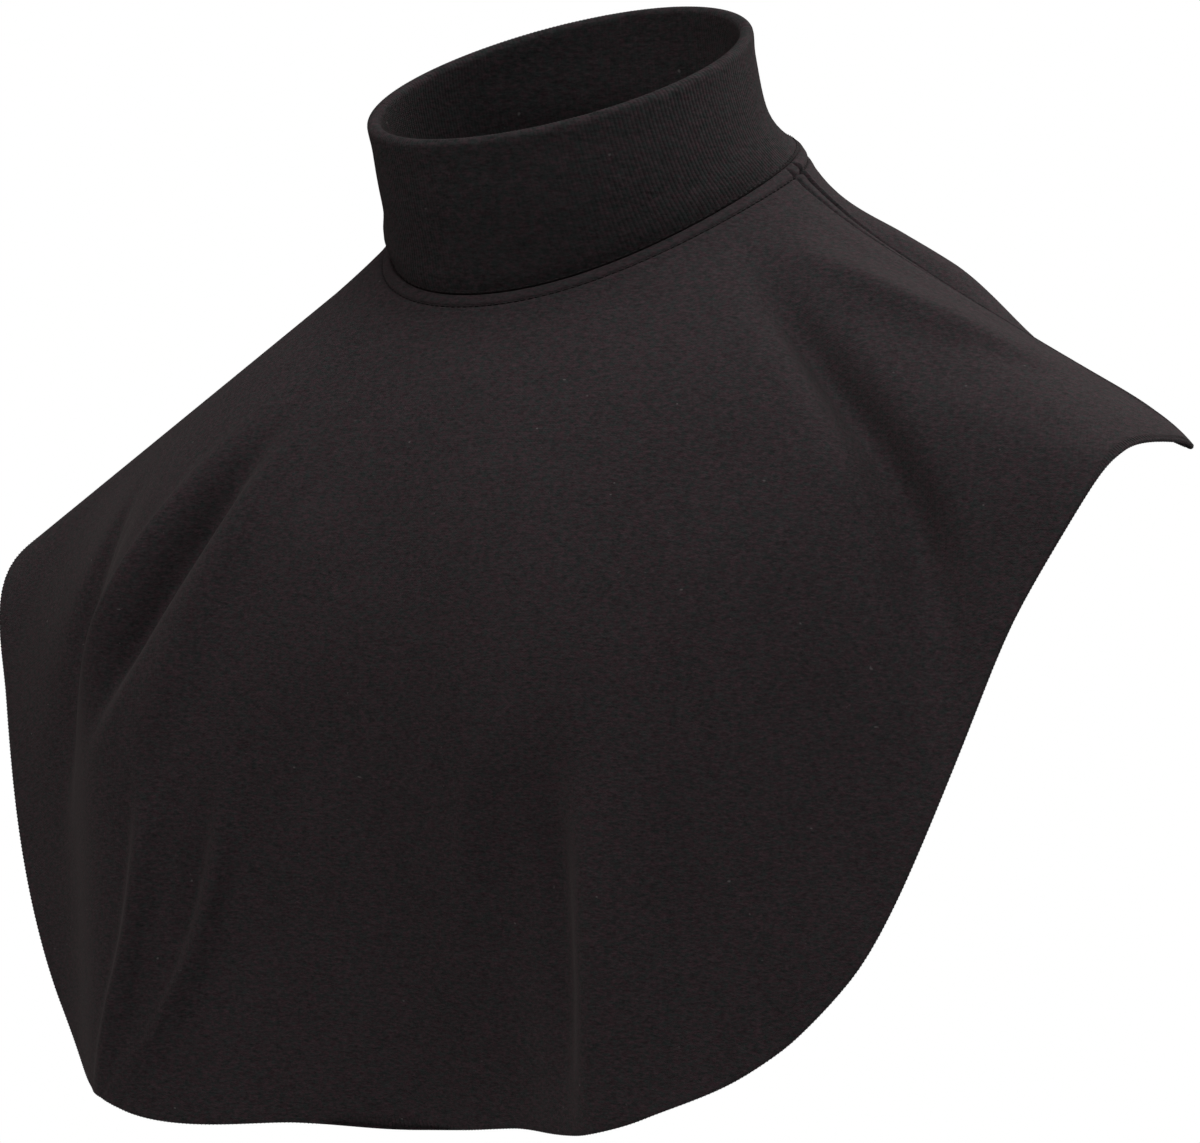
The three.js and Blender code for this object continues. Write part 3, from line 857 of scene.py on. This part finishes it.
loop_run = np.linspace(0, 1, LOOP_POINTS)[None]
loop_bow = np.sin(np.pi * loop_run)
print("bow of a loop", loop_bow.round(2))

# %% [markdown]
# A topstitch is a row of short loops of sewing thread that dive into the cloth at both
# ends. The marks between them are spaced by the length of a stitch, round the neck and
# down in front of each shoulder seam.
# %% Topstitches
STITCH_SHARE = 0.74
STITCH_SINK = -0.35
STITCH_BOW = 0.22


def stitch_row(angle, share):
    """Centres, upward ways and radii of one tube between each two neighbouring marks."""
    blend = (1 - STITCH_SHARE) / 2 + STITCH_SHARE * loop_run
    at_angle = angle[:-1, None] + (angle[1:] - angle[:-1])[:, None] * blend
    at_share = share[:-1, None] + (share[1:] - share[:-1])[:, None] * blend
    centres = cloth_at(at_angle, at_share, STITCH_SINK + STITCH_BOW * loop_bow)
    radius = THREAD_RADIUS * (0.35 + 0.65 * loop_bow) + 0 * at_angle
    return centres, normal_of(cloth_face, at_angle, at_share), radius


def marks_round(first, last):
    """Stitch marks below the neck seam, a stitch length apart."""
    fine = np.linspace(first, last, 2000)
    run = run_along(drape(fine, TOPSTITCH_FROM_NECK / fall_at("length", fine)))
    count = int(run[-1] / STITCH_LENGTH)
    angle = np.interp(np.linspace(0, run[-1], count + 1), run, fine)
    return angle, TOPSTITCH_FROM_NECK / fall_at("length", angle)


def marks_down(side):
    """Stitch marks in front of a shoulder seam, from the neck to the hem."""
    length = fall_at("length", side * seam_angle(0.5))
    share = np.linspace(TOPSTITCH_FROM_NECK / length, 0.995, int(length / STITCH_LENGTH))
    return side * (seam_angle(share) - degrees_for(TOPSTITCH_FROM_SHOULDER, share)), share


def sewn(name, rows):
    """All the stitches of some rows as one object."""
    made = [stitch_row(angle, share) for angle, share in rows]
    points, faces = tubes(*(np.concatenate(parts) for parts in zip(*made)))
    return show(make_mesh(name, points, faces))


inside_seam = seam_angle(0) - 4
front_thread = sewn(
    "front_topstitch", [marks_round(-inside_seam, inside_seam), marks_down(1), marks_down(-1)])
back_thread = sewn("back_topstitch", [marks_round(seam_angle(0) + 1, 359 - seam_angle(0))])

# %% [markdown]
# The hem isn't turned up. It is overlocked: threads wrap the raw edge, from a needle line
# inside to the outer face. Along most of the hem they only show as a thin firm edge,
# but at the lowest point of the front and at the end of the shoulder the edge turns to
# the viewer, and the whole band shows.
# %% Overlocked hems
OVERLOCK_PITCH = 1.2
OVERLOCK_INSIDE = 4.2
OVERLOCK_LEAST = 0.6
OVERLOCK_LIFT = 0.03
OVERLOCK_RADIUS = 0.11


def hem_marks(first_edge, last_edge):
    """Angles one pitch apart along a hem, and the degrees that a pitch spans on average."""
    fine = np.linspace(first_edge, last_edge, 3000)
    run = run_along(cloth_face(fine, np.ones(3000)))
    places = np.arange(OVERLOCK_PITCH, run[-1] - OVERLOCK_PITCH, OVERLOCK_PITCH)
    return np.interp(places, run, fine)[:, None], (last_edge - first_edge) * OVERLOCK_PITCH / run[-1]


def overlock_path(stitch):
    """Distances from the hem and heights over the face along each thread: down the inner face,
    round the edge in a half circle and up the outer face, with both ends in the cloth."""
    half = CLOTH_WALL / 2
    climb = np.array([[0, 0.3, 0.6, 0.95]])
    turn = np.radians([[-60, -20, 20, 60]])
    inner = half + (OVERLOCK_INSIDE - half) * (1 - climb)
    round_edge = half - (half + OVERLOCK_LIFT) * np.cos(turn)
    outer = half + (np.maximum(overlock_reach(stitch), OVERLOCK_LEAST) - half) * climb[:, 1:]
    level = np.concatenate([
        -CLOTH_WALL - OVERLOCK_LIFT * np.array([[-2.0, 1, 1, 1]]),
        -half + (half + OVERLOCK_LIFT) * np.sin(turn),
        OVERLOCK_LIFT * np.array([[1.0, 1, -1.5]])], 1)
    return np.concatenate([inner + 0 * stitch, round_edge + 0 * stitch, outer], 1), level + 0 * stitch


def overlock(name, first_edge, last_edge):
    """One thread for each pitch along a hem, leaning by a pitch from its start to its end."""
    stitch, per_pitch = hem_marks(first_edge, last_edge)
    from_hem, level = overlock_path(stitch)
    angle = stitch + np.linspace(-0.5, 0.5, from_hem.shape[1])[None] * per_pitch
    share = 1 - from_hem / fall_at("length", stitch)
    curl = hem_curl(np.maximum(from_hem, 0), angle) * (level > -CLOTH_WALL / 2)
    centres = cloth_at(angle, share, level - curl)
    along = np.gradient(centres, axis=1)
    ways_up = np.cross(np.cross(along, normal_of(cloth_face, angle, share)), along)
    points, faces = tubes(centres, ways_up, OVERLOCK_RADIUS + 0 * share, 5)
    return show(make_mesh(name, points, faces))


front_overlock = overlock("front_overlock", -seam_angle(1), seam_angle(1))
back_overlock = overlock("back_overlock", seam_angle(1), 360 - seam_angle(1))

# %% [markdown]
# A second row of stitches runs on the rib side of the neck seam and holds the allowance
# from above. It sits low between the ribs, so that only small dots of it are seen.
# %% Stitches on the collar
DITCH_RISE = 0.014
DITCH_BOW = 0.2
DITCH_SINK = -0.04
DITCH_STITCHES = 180

ditch_angle = (np.arange(DITCH_STITCHES)[:, None] + 0.1 + 0.8 * loop_run) * 360 / DITCH_STITCHES
ditch_rise = DITCH_RISE + 0 * ditch_angle
ditch_centres = collar_at(ditch_angle, ditch_rise, DITCH_BOW * loop_bow + DITCH_SINK)
ditch_radius = THREAD_RADIUS * (0.4 + 0.6 * loop_bow) + 0 * ditch_angle
ditch_points, ditch_faces = tubes(ditch_centres, collar_normal(ditch_angle, ditch_rise), ditch_radius)
collar_thread = show(make_mesh("collar_stitches", ditch_points, ditch_faces))

# %% [markdown]
# The size and the area of each bib's cut are printed. The sizes come from the flat layout above, not from
# the worn shape.
for piece, size, area, threads in (
        (front, front_size, front_area, [front_thread, front_overlock]),
        (back, back_size, back_area, [back_thread, back_overlock])):
    print(piece.name, "is cut from", (size * MM).round(3), "m, area", round(area * MM**2, 4), "m2")

# %% [markdown]
# The looks are node trees. A few helpers keep them readable: an input is fed with a link
# or a constant, and the commonest nodes are one call each.
# %% Node helpers
def feed(tree, socket, value):
    """Fills one input: with a link where the value is an output, else as its constant."""
    if isinstance(value, bpy.types.NodeSocket):
        tree.links.new(value, socket)
    else:
        socket.default_value = value


def fill(tree, node, values):
    """Fills a node's inputs by their names or numbers and gives the node back."""
    for label, value in values.items():
        feed(tree, node.inputs[label], value)
    return node


def maths(tree, kind, *values):
    """A math node whose inputs are links or numbers."""
    node = tree.nodes.new("ShaderNodeMath")
    node.operation = kind
    return fill(tree, node, dict(enumerate(values))).outputs[0]


def scaled(tree, vector, factor):
    """A vector or colour times one number."""
    node = tree.nodes.new("ShaderNodeVectorMath")
    node.operation = "SCALE"
    return fill(tree, node, {0: vector, "Scale": factor}).outputs[0]


def stretched(tree, vector, level, upright):
    """The vector with its level and upright directions scaled, as fibres lie along a course."""
    node = tree.nodes.new("ShaderNodeMapping")
    return fill(tree, node, {"Vector": vector, "Scale": (level, level, upright)}).outputs[0]


def noise(tree, vector, scale, detail=2.0, roughness=0.5):
    """A noise texture's value at a vector."""
    node = tree.nodes.new("ShaderNodeTexNoise")
    values = {"Vector": vector, "Scale": scale, "Detail": detail, "Roughness": roughness}
    return fill(tree, node, values).outputs["Fac"]


def mix_colour(tree, factor, one, two):
    """A blend of two colours."""
    node = tree.nodes.new("ShaderNodeMix")
    node.data_type = "RGBA"
    return fill(tree, node, {0: factor, 6: one, 7: two}).outputs[2]


def new_group(name, inputs, outputs):
    """A node group with its named sockets and its two end nodes."""
    group = bpy.data.node_groups.new(name, "ShaderNodeTree")
    for label, kind, value in inputs:
        socket = group.interface.new_socket(label, in_out="INPUT", socket_type=kind)
        if value is not None:
            socket.default_value = value
    for label, kind in outputs:
        group.interface.new_socket(label, in_out="OUTPUT", socket_type=kind)
    return group, group.nodes.new("NodeGroupInput"), group.nodes.new("NodeGroupOutput")


def use_group(tree, group, values):
    """A node that shows a group in another tree, with its inputs filled."""
    node = tree.nodes.new("ShaderNodeGroup")
    node.node_tree = group
    return fill(tree, node, values)


def new_material(name):
    """A material, its tree and its Principled shader."""
    material = bpy.data.materials.new(name)
    material.use_nodes = True
    return material, material.node_tree, material.node_tree.nodes["Principled BSDF"]


print("node helpers ready")

# %% [markdown]
# The yarn is a heather: rose-brown and grey fibres carded into black. From a metre away it
# reads as a warm charcoal. The colour group mixes noises that are stretched level, as the
# courses of the knit run: patches choose between the two yarns, streaks make them lighter
# and darker, and rare high spots are pale lint. The noises fill the space of the piece, so
# the grain is as fine on the shoulders as on the chest.
# %% Heather colour
ROSE_YARN = (0.0285, 0.0182, 0.0212, 1)
GREY_YARN = (0.0150, 0.0190, 0.0186, 1)
LINT = (0.08, 0.075, 0.075, 1)
PATCH_CONTRAST = 4.0
LINT_FROM = 0.87
LINT_CONTRAST = 25.0
GRAIN_COLUMNS = ("level", "upright", "scale", "detail", "roughness")
PATCHES = (0.6, 1.2, 950, 3.0, 0.8)
STREAK = (0.4, 1.2, 1300, 3.0, 0.6)
FIBRE = (0.6, 1.4, 2000, 2.0, 0.6)
BROAD = (1.0, 1.0, 28, 3.0, 0.5)
PEAKS = (0.8, 1.2, 700, 0.0, 0.5)


def grain(tree, vector, level, upright, scale, detail, roughness):
    """A noise whose vector is stretched first."""
    return noise(tree, stretched(tree, vector, level, upright), scale, detail, roughness)


def heather_group():
    """Colour: a blend of two yarns by a noise in patches, times a sum of two streaky noises
    and a broad one, with lint where a last noise peaks."""
    group, start, end = new_group("heather_yarn", [
        ("Vector", "NodeSocketVector", None),
        ("Rose", "NodeSocketColor", ROSE_YARN),
        ("Grey", "NodeSocketColor", GREY_YARN),
        ("Rose Share", "NodeSocketFloat", 0.5),
        ("Lint", "NodeSocketColor", LINT),
    ], [("Color", "NodeSocketColor"), ("Roughness", "NodeSocketFloat")])
    patches, streak, fibre, broad, peak = (
        grain(group, start.outputs["Vector"], **row)
        for row in records(GRAIN_COLUMNS, (PATCHES, STREAK, FIBRE, BROAD, PEAKS)))
    patch_mask = maths(group, "MULTIPLY", maths(group, "SUBTRACT", patches, 0.5), PATCH_CONTRAST)
    rose_mask = maths(group, "ADD", start.outputs["Rose Share"], patch_mask)
    colour = mix_colour(group, rose_mask, start.outputs["Grey"], start.outputs["Rose"])
    broad_shade = maths(group, "MULTIPLY_ADD", broad, 0.3, -0.5)
    fibre_shade = maths(group, "MULTIPLY_ADD", fibre, 1.2, broad_shade)
    bright = scaled(group, colour, maths(group, "MULTIPLY_ADD", streak, 1.5, fibre_shade))
    over_peak = maths(group, "MAXIMUM", maths(group, "SUBTRACT", peak, LINT_FROM), 0.0)
    lint_mask = maths(group, "MULTIPLY", over_peak, LINT_CONTRAST)
    fill(group, end, {
        "Color": mix_colour(group, lint_mask, bright, start.outputs["Lint"]),
        "Roughness": maths(group, "MULTIPLY_ADD", fibre, 0.1, 0.86)})
    return group


heather = heather_group()
print(heather.name, len(heather.nodes), "nodes")

# %% [markdown]
# Jersey shows columns of small V stitches. The relief group builds them from the cloth's
# layout: a column's round back, crossed by stitches whose two legs slope to the middle.
# The same group serves the rib, whose columns are real shape already, with its column
# height turned down.
# %% Knit relief
def knit_group():
    """Height of V stitches: a cosine across each column, times a sine of the distance down
    it plus the distance from its middle."""
    group, start, end = new_group("knit_relief", [
        ("Vector", "NodeSocketVector", None),
        ("Column", "NodeSocketFloat", 0.0009),
        ("Course", "NodeSocketFloat", 0.0007),
        ("Column Height", "NodeSocketFloat", 0.5),
    ], [("Height", "NodeSocketFloat")])
    split = fill(group, group.nodes.new("ShaderNodeSeparateXYZ"), {0: start.outputs["Vector"]})
    across = maths(group, "DIVIDE", split.outputs[0], start.outputs["Column"])
    down = maths(group, "DIVIDE", split.outputs[1], start.outputs["Course"])
    from_middle = maths(group, "ABSOLUTE", maths(group, "SUBTRACT", maths(group, "FRACT", across), 0.5))
    column = maths(group, "COSINE", maths(group, "MULTIPLY", from_middle, math.pi))
    leg_run = maths(group, "MULTIPLY_ADD", from_middle, 1.3, down)
    leg = maths(group, "SINE", maths(group, "MULTIPLY", leg_run, 2 * math.pi))
    legs = maths(group, "MULTIPLY", leg, maths(group, "MULTIPLY", column, 0.5))
    uneven = noise(group, start.outputs["Vector"], 700, 2.0)
    high = maths(group, "MULTIPLY_ADD", column, start.outputs["Column Height"], legs)
    fill(group, end, {"Height": maths(group, "MULTIPLY_ADD", uneven, 0.8, high)})
    return group


knit = knit_group()
print(knit.name, len(knit.nodes), "nodes")

# %% [markdown]
# Both knits are one kind of material with their own numbers: the brightness and the share
# of rose in the yarn, its fineness, and the size of a stitch in millimetres. Brushed yarn
# scatters light softly, so there is hardly any shine and a little warm sheen. The sewing
# thread is close to the cloth in colour.
# %% Cloth and thread
BUMP_RELIEF = 0.05
SHEEN = 0.03
SHINE = 0.05
SHEEN_TINT = (1.0, 0.9, 0.84, 1)
THREAD_COLOUR = (0.022, 0.02, 0.0205, 1)
KNIT_COLUMNS = ("name", "brightness", "rose_share", "fineness", "column", "course", "column_height")
KNIT_ROWS = [
    ("jersey", 1.25, 0.54, 1.0, 0.9, 0.7, 0.5),
    ("rib_knit", 1.22, 0.42, 0.7, RIB_PITCH, 0.8, 0.0),
]


def cloth_material(name, brightness, rose_share, fineness, column, course, column_height):
    """Heathered cloth: the yarn in the piece's space, scaled by its fineness, and the stitches
    on its flat layout, both into one Principled shader."""
    material, tree, shader = new_material(name)
    place = tree.nodes.new("ShaderNodeTexCoord").outputs["Object"]
    layout = tree.nodes.new("ShaderNodeUVMap")
    layout.uv_map = "cloth"
    yarn = use_group(tree, heather, {
        "Vector": scaled(tree, place, fineness), "Rose Share": rose_share,
        "Rose": tuple(channel * brightness for channel in ROSE_YARN[:3]) + (1,),
        "Grey": tuple(channel * brightness for channel in GREY_YARN[:3]) + (1,)})
    stitches = use_group(tree, knit, {
        "Vector": layout.outputs[0], "Column": column * MM, "Course": course * MM,
        "Column Height": column_height})
    bump = fill(tree, tree.nodes.new("ShaderNodeBump"), {
        "Strength": 0.8, "Distance": BUMP_RELIEF * MM, "Height": stitches.outputs["Height"]})
    fill(tree, shader, {
        "Base Color": yarn.outputs["Color"], "Roughness": yarn.outputs["Roughness"],
        "Normal": bump.outputs["Normal"], "Specular IOR Level": SHINE,
        "Sheen Weight": SHEEN, "Sheen Roughness": 0.5, "Sheen Tint": SHEEN_TINT})
    return material


jersey, rib_knit = (cloth_material(**row) for row in records(KNIT_COLUMNS, KNIT_ROWS))
for piece, material in ((front, jersey), (back, jersey), (collar, rib_knit)):
    piece.data.materials.append(material)

thread, thread_tree, thread_shader = new_material("sewing_thread")
fill(thread_tree, thread_shader, {
    "Base Color": THREAD_COLOUR, "Roughness": 0.6, "Specular IOR Level": SHINE})
for piece in (front_thread, back_thread, front_overlock, back_overlock, collar_thread):
    piece.data.materials.append(thread)
print("materials", [material.name for material in bpy.data.materials])

# %% [markdown]
# The photo was taken on plain white in soft light from all round the camera, so the
# folds are faint and every turned side is still lit. Large softboxes stand round the
# garment: high in front, overhead, on the right and behind the near shoulder, with two
# weak warm ones on the left.
# %% Softboxes
CAMERA_AZIMUTH_DEG = 34.5
LIGHT_AIM = np.array([0, 0, -0.1])
LIGHT_DISTANCE = 1.6
LIGHT_SIZE = 1.0
SOFTBOX_COLUMNS = ("name", "aside", "up", "power", "warmth")
SOFTBOX_ROWS = [
    ("high_front", 0, 58, 10.0, 0.0),
    ("overhead", 0, 80, 11.5, 0.0),
    ("side_right", 90, 10, 9.5, 0.05),
    ("high_left", -45, 45, 4.5, 0.15),
    ("side_left", -110, 20, 1.0, 0.15),
    ("back_right", 125, 35, 11.0, 0.1),
]


def way_from(aside, up):
    """The way from the garment to a place, by the place's degrees to the right of the camera's
    side and its degrees up."""
    turn, rise = math.radians(CAMERA_AZIMUTH_DEG + aside), math.radians(up)
    return np.array([math.sin(turn) * math.cos(rise), -math.cos(turn) * math.cos(rise), math.sin(rise)])


def stand(thing, place, away):
    """Puts a lamp or a camera at a place and turns it against the way that leads there."""
    thing.location = place
    thing.rotation_mode = "QUATERNION"
    thing.rotation_quaternion = Vector(-away).to_track_quat("-Z", "Y")


def softbox(name, aside, up, power, warmth):
    """A square area light turned to the garment. Its warmth is the share of green and blue
    taken away."""
    data = bpy.data.lights.new(name, "AREA")
    data.size = LIGHT_SIZE
    data.energy = power
    data.color = (1, 1 - warmth, 1 - warmth)
    away = way_from(aside, up)
    stand(new_object(name, data), LIGHT_AIM + away * LIGHT_DISTANCE, away)


for box in records(SOFTBOX_COLUMNS, SOFTBOX_ROWS):
    softbox(**box)
print("lights", [lamp.name for lamp in bpy.data.lights])

# %% [markdown]
# The floor is a pale disc that fades to the white of the background, well below the
# garment, which hangs in the air as if an unseen wearer held it up. The camera sees a
# plain white world, but the cloth gets hardly any light from it.
# %% White studio
FLOOR_LEVEL = -0.45
FLOOR_RADIUS = 1.5
FLOOR_POINTS = 96
WORLD_LIGHT = 0.02
WHITE = (1, 1, 1, 1)


def white_world():
    """White behind the garment, and a much softer white as light."""
    world = bpy.data.worlds.new("studio")
    world.use_nodes = True
    tree = world.node_tree
    light = fill(tree, tree.nodes["Background"], {"Strength": WORLD_LIGHT, "Color": WHITE})
    seen = fill(tree, tree.nodes.new("ShaderNodeBackground"), {"Color": WHITE})
    path = tree.nodes.new("ShaderNodeLightPath")
    blend = fill(tree, tree.nodes.new("ShaderNodeMixShader"), {
        0: path.outputs["Is Camera Ray"], 1: light.outputs[0], 2: seen.outputs[0]})
    fill(tree, tree.nodes["World Output"], {0: blend.outputs[0]})
    bpy.context.scene.world = world


def pale_floor():
    """A matt pale grey that the camera sees fade to white by its distance from the middle."""
    material, tree, shader = new_material("pale_floor")
    fill(tree, shader, {"Base Color": (0.8, 0.8, 0.8, 1), "Roughness": 0.9})
    length = tree.nodes.new("ShaderNodeVectorMath")
    length.operation = "LENGTH"
    fill(tree, length, {0: tree.nodes.new("ShaderNodeTexCoord").outputs["Object"]})
    fade = fill(tree, tree.nodes.new("ShaderNodeMapRange"), {
        "Value": length.outputs["Value"],
        "From Min": 0.5 * FLOOR_RADIUS, "From Max": 0.95 * FLOOR_RADIUS})
    path = tree.nodes.new("ShaderNodeLightPath")
    white = tree.nodes.new("ShaderNodeEmission")
    blend = fill(tree, tree.nodes.new("ShaderNodeMixShader"), {
        0: maths(tree, "MULTIPLY", fade.outputs[0], path.outputs["Is Camera Ray"]),
        1: shader.outputs[0], 2: white.outputs[0]})
    fill(tree, tree.nodes["Material Output"], {0: blend.outputs[0]})
    return material


white_world()
turn = 2 * np.pi * np.arange(FLOOR_POINTS) / FLOOR_POINTS
floor_edge = np.stack([np.cos(turn), np.sin(turn), 0 * turn], 1) * FLOOR_RADIUS + [0, 0, FLOOR_LEVEL]
floor_mesh = bpy.data.meshes.new("floor")
floor_mesh.from_pydata(floor_edge, [], [list(range(FLOOR_POINTS))])
floor_mesh.materials.append(pale_floor())
floor = new_object("floor", floor_mesh)
bpy.context.scene.view_settings.view_transform = "Standard"
print("floor", FLOOR_LEVEL, "m, world light", WORLD_LIGHT)

# %% [markdown]
# The camera stands where the photo was taken from: level with the chest, about 35 degrees
# to the wearer's left, far away on a long lens.
# %% Camera
CAMERA_DISTANCE = 1.8
CAMERA_LENS = 183.6
CAMERA_AIM = np.array([0, 0, -0.1135])
CAMERA_ASIDE = -0.00103

camera_data = bpy.data.cameras.new("camera")
camera_data.lens = CAMERA_LENS
camera_data.sensor_width = 36
camera = new_object("camera", camera_data)
bpy.context.scene.camera = camera
backward, rightward = way_from(0, 0), way_from(90, 0)
stand(camera, CAMERA_AIM + rightward * CAMERA_ASIDE + backward * CAMERA_DISTANCE, backward)
print("camera at", [round(value, 3) for value in camera.location])
